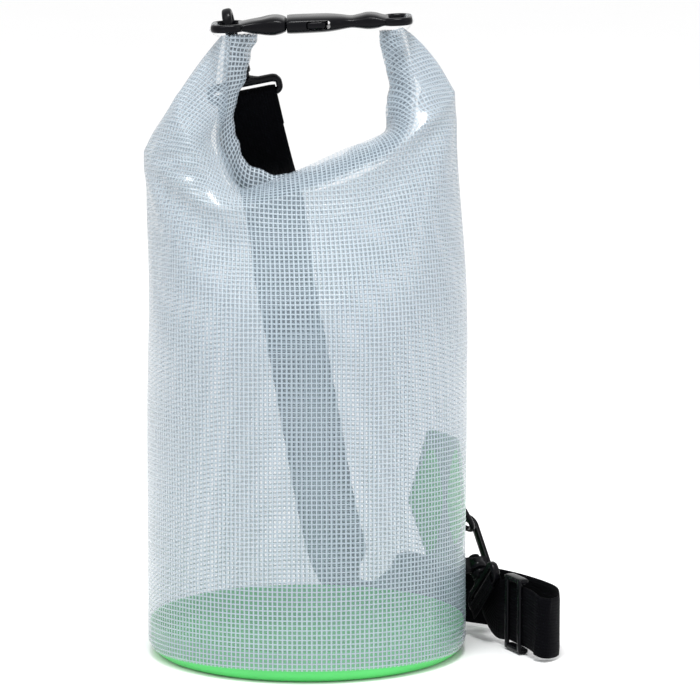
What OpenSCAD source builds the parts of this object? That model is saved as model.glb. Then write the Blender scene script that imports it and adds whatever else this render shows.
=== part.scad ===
// Roll-top dry bag: mesh-reinforced clear tube, green base, side-release buckle handle,
// detachable shoulder strap on two swivel snap hooks. Millimetres, Z up, front is -Y.
// The origin is the centre of the underside of the base.

/* [Bag] */
// Diameter of the filled tube
bag_d = 200; // [196:1:204]
// Thickness of the laminated tube wall
wall = 1.2; // [0.8:0.1:1.4]
// Height at which the tube starts to close towards the mouth
shoulder_z = 225; // [215:1:230]
// Height of the weld between the tube and the base
weld_z = 8; // [6:0.5:9]
// Height of the base flange inside the tube
flange_h = 20; // [16:1:30]

/* [Rolled mouth] */
// Thickness of one doubled layer in the roll
layer_t = 1.8; // [1.2:0.1:1.9]
// Thickness of the stiffening strip inside the roll
stiffener_t = 1; // [0.6:0.1:1.1]

/* [Buckle] */
// Overall width of the buckle
buckle_w = 35; // [33:1:37]
// Height of the middle of the buckle above the floor
buckle_z = 395.5; // [395:0.1:396]
// Slope of the buckle, right side up
buckle_tilt = 2.4; // [2:0.1:3]
// Thickness of the two end rings
ring_t = 5; // [4:0.1:5]

/* [Shoulder strap] */
// Width of the webbing
strap_w = 38; // [36:1:38]
// Thickness of the webbing
strap_t = 1.4; // [1:0.1:1.5]

/* [Snap hooks] */
// Inside radius of the hook's eye
eye_r = 6; // [5.5:0.1:6]
// Thickness of the hook across its plane
hook_t = 6; // [5:0.5:6]
// Distance from the bottom of the barrel to the middle of the eye
eye_w = 32.8; // [32:0.1:33]
// Radius of the swivel pin
pin_r = 2.4; // [2:0.1:2.5]

/* [Patch and D-ring] */
// Turn of the patch from the right side towards the back
patch_turn = 29; // [25:1:33]
// Height of the middle of the patch
patch_z = 87; // [80:1:95]
// Radius of the D-ring's rod
rod_r = 1.8; // [1.6:0.1:2]

/* [Hidden] */
$fn = 48;

bag_r = bag_d / 2;
ring_pivot_r = bag_r + 5.4;
ring_pivot_z = 82;
ring_lean = 30;
ring_reach = 17.5;
stations = 64;
mesh_colour = [0.80, 0.86, 0.90];
green = [0.30, 0.76, 0.33];
black = [0.04, 0.04, 0.05];

// The rolled mouth seen from the front, as [x, z]: down the left arm, along the bottom, up the right arm
mouth_line = [[-50, 384], [-56, 362], [-59, 338], [-58, 314], [-49, 293], [-30, 284], [-8, 286],
              [14, 292], [36, 300], [56, 309], [69, 324], [72, 346], [69, 367], [61, 386]];
// One turn and a half of the flat roll, as [depth, height above the mouth line]
roll_section = [[0, 0.7], [-3.3, 1.7], [-5.2, 4.6], [-5.2, 13.4], [-3.6, 16.4], [-0.4, 17.4], [2.9, 16.2],
                [4.6, 13.2], [4.6, 6.4], [3.2, 4.2], [0.2, 3.7], [-2.2, 6], [-2.2, 12.2], [-0.5, 14],
                [1.4, 12.2], [1.4, 6.2]];

// ---- curves and swept solids ----
function clamp(i, n) = max(0, min(n, i));
function spline(p, u) =
    let (n = len(p) - 1, i = clamp(floor(u), n - 1), f = u - i,
         a = p[clamp(i - 1, n)], b = p[i], c = p[i + 1], d = p[clamp(i + 2, n)])
    0.5 * (2 * b + f * (c - a) + f * f * (2 * a - 5 * b + 4 * c - d) + f * f * f * (3 * b - a - 3 * c + d));
function unit(v) = v / norm(v);
function mouth(s) = spline(mouth_line, s * (len(mouth_line) - 1));
function mouth_heading(s) = unit(mouth(min(1, s + 0.004)) - mouth(max(0, s - 0.004)));

// A solid through rings of equal length: closed on itself, or capped at both ends
module skin(rings, closed = false) {
    n = len(rings);
    m = len(rings[0]);
    last = closed ? n - 1 : n - 2;
    sides = [for (i = [0:last], j = [0:m - 1])
             let (a = i * m, b = ((i + 1) % n) * m, k = (j + 1) % m)
             each [[a + j, a + k, b + k], [a + j, b + k, b + j]]];
    caps = closed ? [] : [[for (j = [m - 1:-1:0]) j], [for (j = [0:m - 1]) (n - 1) * m + j]];
    polyhedron(points = [for (r = rings) each r], faces = concat(sides, caps), convexity = 8);
}

// ---- bag ----
// A point of the tube above its shoulder: s runs from the left side to the right, t from the shoulder up
function bag_point(s, side, inset, t) =
    let (r = bag_r - inset,
         edge = min(s, 1 - s),
         m = mouth(inset > 0 ? 0.012 + 0.976 * s : s),
         half = (inset > 0 ? 0.7 : 2.2) * min(1, edge * 12),
         lift = 300 + 45 * pow(abs(2 * s - 1), 1.5),
         depth = side < 0 ? 0.95 : 0.8,
         p0 = [-r * cos(180 * s), side * r * sin(180 * s), shoulder_z],
         p1 = [-(r + 9) * cos(180 * s), side * depth * r * sin(180 * s), lift - inset],
         p2 = [m[0], side * half, m[1]])
    (1 - t) * (1 - t) * p0 + 2 * t * (1 - t) * p1 + t * t * p2;

module tube_body() {
    steps = [0:0.125:1];
    half = stations / 2;
    rings = [for (i = [0:stations - 1])
             let (side = i <= half ? -1 : 1, s = i <= half ? i / half : (stations - i) / half,
                  outer = [for (t = steps) bag_point(s, side, 0, t)],
                  inner = [for (t = steps) bag_point(s, side, wall, 1 - t)],
                  foot = [-cos(180 * s), side * sin(180 * s), 0])
             concat([foot * bag_r + [0, 0, weld_z]], outer, inner, [foot * (bag_r - wall) + [0, 0, weld_z]])];
    color(mesh_colour) skin(rings, closed = true);
}

module base_dish() {
    outer = bag_r - wall - 0.15;
    skin_t = 1.4;
    color(green) rotate_extrude($fn = 96)
        polygon([[0, 0], [outer - 8, 0], [outer - 3, 2.2], [outer, weld_z - 1], [outer, flange_h],
                 [outer - skin_t, flange_h], [outer - skin_t, weld_z - 0.4], [outer - 3.8, 3.4],
                 [outer - 8.5, skin_t], [0, skin_t]]);
}

// Section points carried along the mouth line: depth goes to Y, height to the inside of the U
function at_mouth(s, p) =
    let (m = mouth(s), h = mouth_heading(s))
    [m[0] - h[1] * p[1], p[0], m[1] + h[0] * p[1]];
function side_of(p, i, d) =
    let (n = len(p) - 1,
         a = unit(p[i] - p[max(0, i - 1)] + (i == 0 ? p[1] - p[0] : [0, 0])),
         b = unit(p[min(n, i + 1)] - p[i] + (i == n ? p[n] - p[n - 1] : [0, 0])),
         h = unit(a + b), k = max(0.8, a * h))
    p[i] + [-h[1], h[0]] * d / k;

module rolled_mouth() {
    n = len(roll_section) - 1;
    band = concat([for (i = [0:n]) side_of(roll_section, i, layer_t / 2)],
                  [for (i = [n:-1:0]) side_of(roll_section, i, -layer_t / 2)]);
    color(mesh_colour * 0.95) skin([for (s = [0:1 / 32:1]) [for (p = band) at_mouth(s, p)]]);
}

module mouth_stiffener() {
    strip = [[-0.4 - stiffener_t / 2, 6.4], [-0.4 + stiffener_t / 2, 6.4],
             [-0.4 + stiffener_t / 2, 12], [-0.4 - stiffener_t / 2, 12]];
    color("white") skin([for (i = [0:32]) [for (p = strip) at_mouth(0.01 + 0.98 * i / 32, [p[0], p[1]])]]);
}

// ---- buckle, drawn along X about its own middle ----
module buckle_place() {
    translate([0, 0, buckle_z]) rotate([0, -buckle_tilt, 0]) children();
}

ring_w = 36;
rod_w = 4.5;

module rounded_plate(size, r, t) {
    translate([0, 0, -t / 2]) linear_extrude(t) {
        square([size[0] - 2 * r, size[1]], center = true);
        square([size[0], size[1] - 2 * r], center = true);
        for (x = [-1, 1], y = [-1, 1])
            translate([x * (size[0] / 2 - r), y * (size[1] / 2 - r)]) circle(r);
    }
}

// The open ring at the end of a buckle half
module end_ring(length, window) {
    difference() {
        rounded_plate([length, ring_w], 7, ring_t);
        rounded_plate([window, ring_w - 2 * rod_w], 4, ring_t + 1);
    }
}

// A body swelling between two thicknesses: its side outline cut to its plan width
module swelling(profile, widths) {
    intersection() {
        rotate([90, 0, 0]) linear_extrude(ring_w + 4, center = true) polygon(profile);
        linear_extrude(30, center = true) polygon(widths);
    }
}

module buckle_male() {
    color(black) buckle_place() {
        translate([-48.5, 0, 0]) end_ring(21, 12);
        swelling([[-40.5, -2.5], [-33, -4.5], [-24, -6], [-17, -6], [-12.3, -3.6],
                  [-12.3, 3.6], [-17, 6], [-24, 6], [-33, 4.2], [-40.5, 2.5]],
                 [[-40.5, -15], [-30, -13.5], [-20, -16.5], [-12.3, -16.5],
                  [-12.3, 16.5], [-20, 16.5], [-30, 13.5], [-40.5, 15]]);
        translate([-12.5, -2.8, -2.4]) cube([26, 5.6, 4.8]);
    }
}

prong_root = [-10.7, 8.6];
prong_t = 2.8;
module prong(side) {
    wing = 7.3;
    color(black) buckle_place() translate([0, 0, -2.5]) {
        translate([prong_root[0], side * prong_root[1], 0]) cylinder(r = prong_t / 2, h = 5);
        translate([prong_root[0], side * prong_root[1] - prong_t / 2, 0]) cube([23.2, prong_t, 5]);
        translate([0.5, side > 0 ? 9.9 : -9.9 - wing, 0]) cube([12, wing, 5]);
    }
}
module prong_front() { prong(-1); }
module prong_rear() { prong(1); }

module buckle_female() {
    half_w = buckle_w / 2;
    color(black) buckle_place() difference() {
        union() {
            swelling([[-12, -5], [-10.5, -5.4], [2, -5.4], [14, -5.2], [24, -3.8], [29, -3.2], [36, -4.6],
                      [42, -4.8], [50.5, -2.5], [50.5, 2.5], [44, 4.6], [38, 5], [29, 3.4], [24, 4],
                      [14, 5.2], [2, 5.4], [-10.5, 5.4], [-12, 5]],
                     [[-12, -half_w], [15, -half_w], [24, -13], [31, -12.5], [50.5, -15],
                      [50.5, 15], [31, 12.5], [24, 13], [15, half_w], [-12, half_w]]);
            translate([56.2, 0, 0]) end_ring(19, 10);
        }
        translate([-13, -14.5, -3]) cube([29, 29, 6]);
        translate([0, -half_w - 1, -3]) cube([15.2, buckle_w + 2, 6]);
    }
}

// Folded fabric end that holds a ring: a loop round its outer bar and a doubled stem down to the roll
module end_loop(bar_x, roll_end, low_y, width) {
    bar_z = buckle_z + bar_x * sin(buckle_tilt);
    reach = [roll_end[0] - bar_x, roll_end[1] - bar_z];
    lean = atan2(reach[0], -reach[1]);
    color(mesh_colour) translate([bar_x, low_y, bar_z]) difference() {
        union() {
            rotate([-90, 0, 0]) cylinder(r = 4.9, h = width);
            rotate([0, -lean, 0]) translate([-1.6, 0.4, -norm(reach)]) cube([3.2, width - 0.8, norm(reach) - 0.5]);
        }
        translate([0, -1, 0]) rotate([-90, 0, 0]) cylinder(r = 3.6, h = width + 2);
    }
}
module end_loop_left() { end_loop(-56.75, [-44, 386.2], -12.5, 16); }
module end_loop_right() { end_loop(63.5, [55.5, 388.6], -11, 22); }

// ---- swivel snap hook, drawn with its swivel axis along Z and its plane across Y ----
// The lowest point of the D-ring's rod
bow_r = ring_pivot_r + ring_reach * sin(ring_lean);
ring_bow = [bow_r * cos(patch_turn), bow_r * sin(patch_turn), ring_pivot_z - ring_reach * cos(ring_lean)];

// Each hook hangs from a bar: the point on the bar, and the direction up the swivel axis
top_eye = [-48, 15.75, 393.5];
top_axis = [-0.207, -0.2515, 0.9454];
bottom_eye = ring_bow;
bottom_axis = unit([-0.27, 0.62, 0.74]);
function across_axis(d, w) = unit(w - (w * d) * d);
top_q = across_axis(top_axis, [1, 0, 0]);
bottom_q = across_axis(bottom_axis, [0, 0, 1]);

module hook_place(eye, axis, q) {
    tilt = acos(axis[2]);
    turn = atan2(axis[1], axis[0]);
    side = [cos(tilt) * cos(turn), cos(tilt) * sin(turn), -sin(tilt)];
    roll = atan2(cross(side, q) * axis, side * q);
    translate(eye - eye_w * axis) rotate([0, tilt, turn]) rotate([0, 0, roll]) children();
}
module top_frame() { hook_place(top_eye, top_axis, top_q) children(); }
module bottom_frame() { hook_place(bottom_eye, bottom_axis, bottom_q) children(); }

hook_bar = 4;
barrel_h = 9;
gate_y = -(eye_r + hook_bar / 2);
gate_foot = barrel_h - 1.2;
gate_top = eye_w - 5.4;
bore_clearance = 0.05;
eye_ease = 1.6;

// A flat shape in the hook's plane, given thickness
module in_plane(t) {
    rotate([90, 0, 90]) linear_extrude(t, center = true) children();
}

module hook_body() {
    outer = eye_r + hook_bar;
    ear = hook_t / 2;
    color(black) difference() {
        union() {
            in_plane(hook_t) difference() {
                union() {
                    translate([0, eye_w]) circle(outer);
                    translate([eye_r, 0]) square([hook_bar, eye_w]);
                    translate([-outer, gate_top + 0.4]) square([hook_bar, eye_w - gate_top]);
                }
                translate([0, eye_w]) circle(eye_r);
                translate([-outer - 1, gate_top - 30]) square([outer + 1 + eye_r, 30.4]);
            }
            in_plane(hook_t) translate([-outer, 0]) square([2 * outer, barrel_h]);
            cylinder(r = 6.4, h = barrel_h - 1.5);
        }
        translate([0, 0, -1]) cylinder(r = pin_r + bore_clearance, h = barrel_h + 2);
        translate([-2, gate_y - 3, gate_foot - 2.4]) cube([4, 6, 6]);
        // The eye's inner edges are eased so that a rod may cross it at a slant
        for (side = [-1, 1]) translate([side * (hook_t / 2 - eye_ease), 0, eye_w])
            rotate([0, side * 90, 0]) cylinder(r1 = eye_r, r2 = eye_r + eye_ease + 0.1, h = eye_ease + 0.1);
    }
    color(black) translate([0, gate_y, gate_foot]) rotate([0, 90, 0]) cylinder(r = 0.8, h = 4.6, center = true);
}

module hook_gate() {
    color(black) difference() {
        in_plane(3.6) {
            translate([gate_y, gate_foot]) circle(1.9);
            translate([gate_y - 1.6, gate_foot]) square([3.2, gate_top - gate_foot]);
        }
        translate([0, gate_y, gate_foot]) rotate([0, 90, 0]) cylinder(r = 0.85, h = 6, center = true);
    }
}

module swivel_pin() {
    color(black) {
        translate([0, 0, -9]) cylinder(r = pin_r, h = barrel_h + 9.4);
        translate([0, 0, barrel_h + 0.3]) cylinder(r = 3.8, h = 2);
    }
}

base_w = 48;
slot_w = 40;
base_bar = 2.4;
base_bar_z = -16.2;
module strap_base() {
    color(black) difference() {
        union() {
            translate([0, 0, -5]) cylinder(r = 5, h = 4.6);
            rotate([90, 0, 0]) linear_extrude(5.5, center = true) difference() {
                translate([-base_w / 2, -18.4]) square([base_w, 13.6]);
                translate([-slot_w / 2, -20]) square([slot_w, 10]);
            }
            translate([0, 0, base_bar_z]) rotate([0, 90, 0]) cylinder(r = base_bar, h = slot_w + 1, center = true);
        }
        translate([0, 0, -9]) cylinder(r = pin_r, h = 20);
    }
}

module top_hook() { top_frame() hook_body(); }
module top_gate() { top_frame() hook_gate(); }
module top_swivel_pin() { top_frame() swivel_pin(); }
module top_strap_base() { top_frame() strap_base(); }
module bottom_hook() { bottom_frame() hook_body(); }
module bottom_gate() { bottom_frame() hook_gate(); }
module bottom_swivel_pin() { bottom_frame() swivel_pin(); }
module bottom_strap_base() { bottom_frame() strap_base(); }

// ---- shoulder strap: a flat band held at both ends ----
// Middle line and the direction across the band, from the top base round the back to the lower one
bar_gap = base_bar + strap_t / 2 + 0.6;
function bar_middle(eye, axis) = eye + (base_bar_z - eye_w) * axis;
// The turn of the band round a base's bar, from one side of it to the other
function bar_turn(c, axis, q, from) =
    let (p = cross(axis, q) * from)
    [for (a = [0:45:180]) [c + bar_gap * (cos(a) * p + sin(a) * axis), q]];
top_bar = bar_middle(top_eye, top_axis);
bottom_bar = bar_middle(bottom_eye, bottom_axis);
top_p = cross(top_axis, top_q);
bottom_p = cross(bottom_axis, bottom_q);
slider_place = [131.7, -8.6, 24.6];
slider_turn = 113.5;
slider_along = [cos(slider_turn), sin(slider_turn), 0];
upright = [0, 0, 1];
stand_z = strap_w / 2 + 1.6;

// Past the slider the band turns in its own plane, up to the lower base's bar
turn_ends = [slider_place + 13 * slider_along, bottom_bar + bar_gap * bottom_p - 6 * bottom_axis];
turn_pulls = [turn_ends[0] + 9 * slider_along - [0, 0, 1.5], turn_ends[1] - 9 * bottom_axis];
function turn_place(t) =
    pow(1 - t, 3) * turn_ends[0] + 3 * t * pow(1 - t, 2) * turn_pulls[0]
    + 3 * t * t * (1 - t) * turn_pulls[1] + pow(t, 3) * turn_ends[1];
function turn_across(t) =
    cross(bottom_p, unit(turn_place(min(1, t + 0.02)) - turn_place(max(0, t - 0.02))));

strap_route = concat(
    [[top_bar + bar_gap * top_p - 24 * top_axis, top_q], [top_bar + bar_gap * top_p - 10 * top_axis, top_q]],
    bar_turn(top_bar, top_axis, top_q, 1),
    [[top_bar - (bar_gap - 0.4) * top_p - 12 * top_axis, top_q],
     [[-32.5, 33.5, 322], [0.98, 0, 0.2]], [[-27.3, 47, 299], [0.98, 0.05, 0.18]],
     [[-23.2, 70, 281], [0.98, 0.1, 0.15]], [[-19, 91, 257], [0.98, 0.1, 0.15]],
     [[-16.5, 102.6, 228], [0.98, 0.05, 0.17]], [[-9.6, 103, 190], [0.98, 0.05, 0.17]],
     [[-2.4, 103, 150], [0.985, 0, 0.17]], [[4.6, 103, 110], [0.985, -0.03, 0.17]],
     [[11.5, 103.5, 72], [0.985, -0.05, 0.17]], [[18, 106, 44], [0.97, 0.1, 0.15]],
     [[25, 113, 25], [0.75, 0.65, 0.05]], [[36, 123, 11], [0.25, 0.96, 0.05]],
     [[50, 120, 13.5], [0.15, 0.85, 0.5]], [[63, 111, 20], [0.05, 0.25, 0.97]]],
    [for (p = [[77, 95, 0], [91, 80, 0], [104, 69.5, 0], [119, 59, 0], [134, 43, 0], [148, 22, 0], [156.5, 3, 0],
               [158, -14, 0], [156.5, -29, 0.3], [150.5, -38.5, 1], [144.5, -37, 2.2], [141.5, -31, 3.4]])
        [[p[0], p[1], stand_z + p[2]], upright]],
    [for (k = [-18, -6, 6]) [slider_place + k * slider_along, upright]],
    [for (t = [0, 1 / 3, 2 / 3, 1]) [turn_place(t), turn_across(t)]],
    bar_turn(bottom_bar, bottom_axis, bottom_q, 1),
    [[bottom_bar - bar_gap * bottom_p - 8 * bottom_axis, bottom_q]]);
strap_places = [for (k = strap_route) k[0]];
strap_across = [for (k = strap_route) k[1]];

module shoulder_strap() {
    last = len(strap_route) - 1;
    per_key = 3;
    rings = [for (i = [0:last * per_key])
             let (u = i / per_key,
                  here = spline(strap_places, u),
                  ahead = unit(spline(strap_places, min(last, u + 0.05)) - spline(strap_places, max(0, u - 0.05))),
                  wanted = spline(strap_across, u),
                  across = unit(wanted - (wanted * ahead) * ahead) * strap_w / 2,
                  up = cross(ahead, unit(across)) * strap_t / 2)
             [here - across - up, here + across - up, here + across + up, here - across + up]];
    color(black) skin(rings);
}

// Ladder slider: end bars outside the band, middle bar inside it
module strap_slider() {
    rail = 3.6;
    length = 22;
    gap = strap_t / 2 + 0.35;
    color(black) translate(slider_place) rotate([0, 0, slider_turn]) {
        for (z = [-1, 1]) translate([0, 0, z * (24 - rail / 2)]) cube([length, 2 * gap + 5, rail], center = true);
        for (x = [-1, 1]) translate([x * (length - 4) / 2, gap + 1.25, 0]) cube([4, 2.5, 47], center = true);
        translate([0, -gap - 1.25, 0]) cube([4, 2.5, 47], center = true);
    }
}

// ---- patch and D-ring ----
module patch_place() {
    rotate([0, 0, patch_turn]) children();
}
module curved_sheet(inner, thick, height) {
    intersection() {
        difference() {
            cylinder(r = bag_r + inner + thick, h = height, $fn = 96);
            translate([0, 0, -1]) cylinder(r = bag_r + inner, h = height + 2, $fn = 96);
        }
        rotate([90, 0, 90]) linear_extrude(bag_r + 20) children();
    }
}

module patch() {
    color(green) patch_place() curved_sheet(0.3, 1, 200)
        polygon([[-37, patch_z - 7], [-20, patch_z - 42], [20, patch_z - 42], [37, patch_z - 7],
                 [20, patch_z + 42], [-20, patch_z + 42]]);
}

module d_ring_tab() {
    bore = rod_r + 0.35;
    color(black) patch_place() difference() {
        union() {
            curved_sheet(1.5, 1.5, 200) translate([-12.5, ring_pivot_z]) square([25, 26]);
            translate([ring_pivot_r, 0, ring_pivot_z]) rotate([90, 0, 0]) cylinder(r = bore + 1.4, h = 25, center = true);
        }
        translate([ring_pivot_r, 0, ring_pivot_z]) rotate([90, 0, 0]) cylinder(r = bore, h = 40, center = true);
        cylinder(r = bag_r + 1.4, h = 200, $fn = 96);
    }
}

module d_ring() {
    half = 15;
    reach = ring_reach;
    bend = 8;
    color(black) patch_place() translate([ring_pivot_r, 0, ring_pivot_z]) rotate([0, -ring_lean, 0]) {
        rotate([90, 0, 0]) cylinder(r = rod_r, h = 2 * half, center = true);
        for (y = [-1, 1]) {
            translate([0, y * half, 0]) sphere(rod_r);
            translate([0, y * half, bend - reach]) cylinder(r = rod_r, h = reach - bend);
            translate([0, y * (half - bend), bend - reach]) rotate([90, y > 0 ? 90 : 180, 90])
                rotate_extrude(angle = 90) translate([bend, 0]) circle(rod_r);
        }
        translate([0, 0, -reach]) rotate([90, 0, 0]) cylinder(r = rod_r, h = 2 * (half - bend), center = true);
    }
}

tube_body();
base_dish();
rolled_mouth();
mouth_stiffener();
end_loop_left();
end_loop_right();
buckle_male();
prong_front();
prong_rear();
buckle_female();
top_hook();
top_gate();
top_swivel_pin();
top_strap_base();
bottom_hook();
bottom_gate();
bottom_swivel_pin();
bottom_strap_base();
shoulder_strap();
strap_slider();
d_ring();
d_ring_tab();
patch();
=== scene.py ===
import math

import bmesh
import bpy
import numpy as np
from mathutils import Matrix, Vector


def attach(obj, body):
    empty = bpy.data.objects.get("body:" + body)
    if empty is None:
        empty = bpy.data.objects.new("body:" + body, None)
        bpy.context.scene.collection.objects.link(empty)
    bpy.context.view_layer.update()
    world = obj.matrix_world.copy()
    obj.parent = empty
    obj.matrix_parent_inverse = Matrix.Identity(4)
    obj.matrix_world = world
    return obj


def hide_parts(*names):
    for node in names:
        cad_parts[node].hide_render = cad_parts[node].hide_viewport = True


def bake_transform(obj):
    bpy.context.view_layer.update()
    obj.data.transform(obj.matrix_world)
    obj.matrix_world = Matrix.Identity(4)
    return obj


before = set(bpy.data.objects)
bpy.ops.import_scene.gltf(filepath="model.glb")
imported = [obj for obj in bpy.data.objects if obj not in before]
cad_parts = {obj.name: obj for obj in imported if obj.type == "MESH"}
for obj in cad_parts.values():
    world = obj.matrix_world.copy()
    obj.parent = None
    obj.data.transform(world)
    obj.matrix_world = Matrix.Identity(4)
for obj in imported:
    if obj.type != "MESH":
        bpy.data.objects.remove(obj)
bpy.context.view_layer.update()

MM = 0.001
BAG_R = 100.0
SCRIM_PITCH = 3.0
DRAWS = np.random.RandomState(11)


# ---------------------------------------------------------------- curves
def smoothstep(lo, hi, x):
    t = np.clip((np.asarray(x, float) - lo) / (hi - lo), 0, 1)
    return t * t * (3 - 2 * t)


def unit(v):
    v = np.asarray(v, float)
    return v / np.linalg.norm(v, axis=-1, keepdims=True)


def spline(keys, count):
    """Catmull-Rom through keys, evenly in the keys, as (count, d)."""
    keys = np.asarray(keys, float)
    n = len(keys) - 1
    t = np.linspace(0, n, count)
    i = np.minimum(t.astype(int), n - 1)
    f = (t - i)[:, None]
    a, b = keys[np.maximum(i - 1, 0)], keys[i]
    c, d = keys[i + 1], keys[np.minimum(i + 2, n)]
    return 0.5 * (2 * b + f * (c - a) + f**2 * (2 * a - 5 * b + 4 * c - d) + f**3 * (3 * b - a - 3 * c + d))


def keyed(keys, s):
    """Smooth curve through rows (s, x, y, ...) read at the places s."""
    keys = np.asarray(keys, float)
    at, value = keys[:, 0], keys[:, 1:]
    slope = np.gradient(value, at, axis=0)
    i = np.clip(np.searchsorted(at, s, side="right") - 1, 0, len(at) - 2)
    step = (at[i + 1] - at[i])[:, None]
    f = (s - at[i])[:, None] / step
    return ((1 + 2 * f) * (1 - f) ** 2 * value[i] + f * (1 - f) ** 2 * step * slope[i]
            + f * f * (3 - 2 * f) * value[i + 1] - f * f * (1 - f) * step * slope[i + 1])


def superellipse(half_a, half_b, power=2.6, count=20):
    """A rounded rectangle's outline as (count, 2)."""
    turn = np.arange(count) * 2 * math.pi / count
    c, s = np.cos(turn), np.sin(turn)
    return np.stack([half_a * np.sign(c) * abs(c) ** (2 / power), half_b * np.sign(s) * abs(s) ** (2 / power)], 1)


# ---------------------------------------------------------------- shells: (rings, closed, uv)
def swept(path, across, section, closed=False):
    """Rings of a section carried along a path; across is the direction of the section's first axis."""
    path = np.asarray(path, float)
    if closed:
        ahead = np.roll(path, -1, 0) - np.roll(path, 1, 0)
    else:
        ahead = np.gradient(path, axis=0)
    ahead = unit(ahead)
    across = np.broadcast_to(np.asarray(across, float), path.shape)
    across = unit(across - (across * ahead).sum(1, keepdims=True) * ahead)
    up = np.cross(ahead, across)
    section = np.broadcast_to(section, (len(path),) + np.shape(section)[-2:])
    return path[:, None] + section[..., :1] * across[:, None] + section[..., 1:] * up[:, None]


def lofted(stations, power=3.0, count=28, rounding=1.2):
    """Rings along X from rows (x, half width in y, low z, high z), its two ends rounded over."""
    def end(row, way):
        turned = []
        for angle in np.radians((85, 55, 28, 0)):
            cut = rounding * (1 - math.cos(angle))
            turned.append((row[0] - way * rounding * (1 - math.sin(angle)), row[1] - cut, row[2] + cut, row[3] - cut))
        return turned

    rows = end(stations[0], -1) + list(stations[1:-1]) + end(stations[-1], 1)[::-1]
    rings = []
    for x, half, low, high in rows:
        flat = superellipse(half, 0.5 * (high - low), power, count)
        rings.append(np.stack([np.full(count, x), flat[:, 0], flat[:, 1] + 0.5 * (low + high)], 1))
    return np.array(rings)


def lathed(profile, count=28):
    """Rings round Z from rows (radius, z)."""
    turn = np.arange(count) * 2 * math.pi / count
    return np.array([np.stack([r * np.cos(turn), r * np.sin(turn), np.full(count, z)], 1) for r, z in profile])


def placed(rings, rotation=None, origin=(0, 0, 0)):
    rings = np.asarray(rings, float)
    if rotation is not None:
        rings = rings @ np.asarray(rotation).T
    return rings + np.asarray(origin, float)


def add_rings(verts, faces, uvs, rings, closed=False, uv=None):
    """Appends a tube of rings, capped unless it closes on itself; uv is (rings + closed, points + 1, 2) in mm."""
    n, m = rings.shape[:2]
    base = len(verts)
    verts.extend(rings.reshape(-1, 3).tolist())
    last = n if closed else n - 1
    for i in range(last):
        a, b = base + i * m, base + ((i + 1) % n) * m
        for j in range(m):
            k = (j + 1) % m
            faces.append((a + j, a + k, b + k, b + j))
            if uv is None:
                uvs.append(((0, 0),) * 4)
            else:
                uvs.append((uv[i, j], uv[i, j + 1], uv[i + 1, j + 1], uv[i + 1, j]))
    if not closed:
        faces.append(tuple(base + j for j in range(m - 1, -1, -1)))
        faces.append(tuple(base + (n - 1) * m + j for j in range(m)))
        uvs.append(((0, 0),) * m)
        uvs.append(((0, 0),) * m)


def build(name, shells, material, body=None, replaces=(), smooth=True):
    """One object from closed shells of rings in mm, with outward normals."""
    verts, faces, uvs = [], [], []
    for shell in shells:
        if isinstance(shell, dict):
            add_rings(verts, faces, uvs, **shell)
        else:
            add_rings(verts, faces, uvs, shell)
    return make_object(name, verts, faces, uvs, material, body, replaces, smooth)


def make_object(name, verts, faces, uvs, material, body=None, replaces=(), smooth=True):
    mesh = bpy.data.meshes.new(name)
    mesh.from_pydata((np.asarray(verts, float) * MM).tolist(), [], faces)
    layer = mesh.uv_layers.new(name="UVMap")
    flat = np.array([c for loop in uvs for c in loop], np.float32) * MM
    layer.data.foreach_set("uv", flat.ravel())
    work = bmesh.new()
    work.from_mesh(mesh)
    bmesh.ops.recalc_face_normals(work, faces=work.faces)
    work.to_mesh(mesh)
    work.free()
    if smooth:
        mesh.shade_smooth()
    mesh.materials.append(material)
    mesh.update()
    obj = bpy.data.objects.new(name, mesh)
    bpy.context.scene.collection.objects.link(obj)
    if replaces:
        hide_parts(*replaces)
    if body:
        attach(obj, body)
    return obj


def sheet_object(name, points, uv, material, wrap=False):
    """An open sheet from points (rows, columns, 3) and uv (rows, columns + wrap, 2), both in mm."""
    rows, cols = points.shape[:2]
    faces, uvs = [], []
    for r in range(rows - 1):
        for c in range(cols if wrap else cols - 1):
            k = (c + 1) % cols
            faces.append((r * cols + c, r * cols + k, (r + 1) * cols + k, (r + 1) * cols + c))
            uvs.append((uv[r, c], uv[r, c + 1], uv[r + 1, c + 1], uv[r + 1, c]))
    return make_object(name, points.reshape(-1, 3), faces, uvs, material)


# ---------------------------------------------------------------- material helpers
def new_material(name):
    mat = bpy.data.materials.new(name)
    mat.use_nodes = True
    return mat, mat.node_tree, mat.node_tree.nodes["Principled BSDF"]


def plug(tree, socket, value):
    if hasattr(value, "links"):
        tree.links.new(value, socket)
    elif isinstance(value, (int, float)):
        socket.default_value = value
    elif value is not None:
        socket.default_value = (*value, 1)


def math_node(tree, op, *values):
    node = tree.nodes.new("ShaderNodeMath")
    node.operation = op
    for socket, value in zip(node.inputs, values):
        plug(tree, socket, value)
    return node.outputs[0]


def mix_colour(tree, factor, a, b):
    node = tree.nodes.new("ShaderNodeMix")
    node.data_type = "RGBA"
    for index, value in ((0, factor), (6, a), (7, b)):
        plug(tree, node.inputs[index], value)
    return node.outputs[2]


def noise(tree, vector, scale, detail=3.0):
    node = tree.nodes.new("ShaderNodeTexNoise")
    node.inputs["Scale"].default_value = scale
    node.inputs["Detail"].default_value = detail
    tree.links.new(vector, node.inputs["Vector"])
    return node.outputs["Fac"]


def bump(tree, height, strength, distance):
    node = tree.nodes.new("ShaderNodeBump")
    node.inputs["Strength"].default_value = strength
    node.inputs["Distance"].default_value = distance
    tree.links.new(height, node.inputs["Height"])
    return node.outputs["Normal"]


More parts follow.
